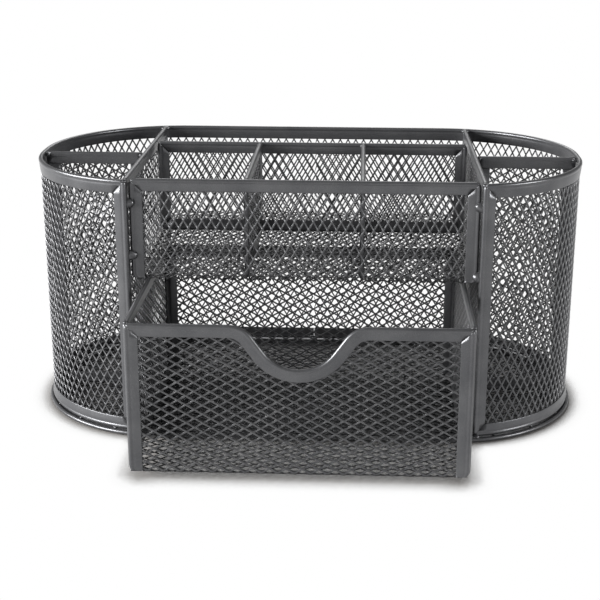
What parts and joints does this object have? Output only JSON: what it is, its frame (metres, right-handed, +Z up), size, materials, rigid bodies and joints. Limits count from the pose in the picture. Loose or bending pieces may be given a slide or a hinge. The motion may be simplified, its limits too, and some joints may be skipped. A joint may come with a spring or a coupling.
{
  "type": "pen stand with drawer",
  "caption": "Rounded wire mesh desk organizer with corner pen cups, a raised divided tray and a scoop-front drawer beneath it.",
  "frame": {"origin": "centre of the base, in the plane of its underside", "axes": "+Z up, +X to the right as seen from the front, -Y towards the user, the way the drawer opens"},
  "size_m": [0.2222, 0.1511, 0.1035],
  "materials": {
    "mesh_paint": "satin charcoal powder coat on expanded steel mesh",
    "edging_paint": "satin charcoal powder coat on folded steel edging"
  },
  "bodies": {
    "basket": {"base_mesh": "mesh_paint", "base_edging": "edging_paint", "left_wall_mesh": "mesh_paint", "right_wall_mesh": "mesh_paint", "wall_top_edging": "edging_paint", "wall_bottom_edging": "edging_paint", "left_post_edging": "edging_paint", "right_post_edging": "edging_paint", "left_partition_mesh": "mesh_paint", "left_partition_edging": "edging_paint", "right_partition_mesh": "mesh_paint", "right_partition_edging": "edging_paint", "left_cup_divider_mesh": "mesh_paint", "left_cup_divider_edging": "edging_paint", "right_cup_divider_mesh": "mesh_paint", "right_cup_divider_edging": "edging_paint", "tray_mesh": "mesh_paint", "tray_front_edging": "edging_paint", "rear_panel_mesh": "mesh_paint", "rear_panel_edging": "edging_paint", "left_tray_divider_mesh": "mesh_paint", "left_tray_divider_edging": "edging_paint", "right_tray_divider_mesh": "mesh_paint", "right_tray_divider_edging": "edging_paint", "tray_weld_beads": "edging_paint"},
    "drawer": {"drawer_pan_mesh": "mesh_paint", "drawer_front_rim": "edging_paint", "drawer_front_left_edging": "edging_paint", "drawer_front_right_edging": "edging_paint", "drawer_back_edging": "edging_paint", "drawer_left_side_mesh": "mesh_paint", "drawer_left_side_edging": "edging_paint", "drawer_right_side_mesh": "mesh_paint", "drawer_right_side_edging": "edging_paint"}
  },
  "joints": [
    {"name": "drawer_slide", "type": "slide", "parent": "basket", "child": "drawer", "axis": [0, -1, 0], "range_m": [-0.0385, 0.0365]}
  ]
}
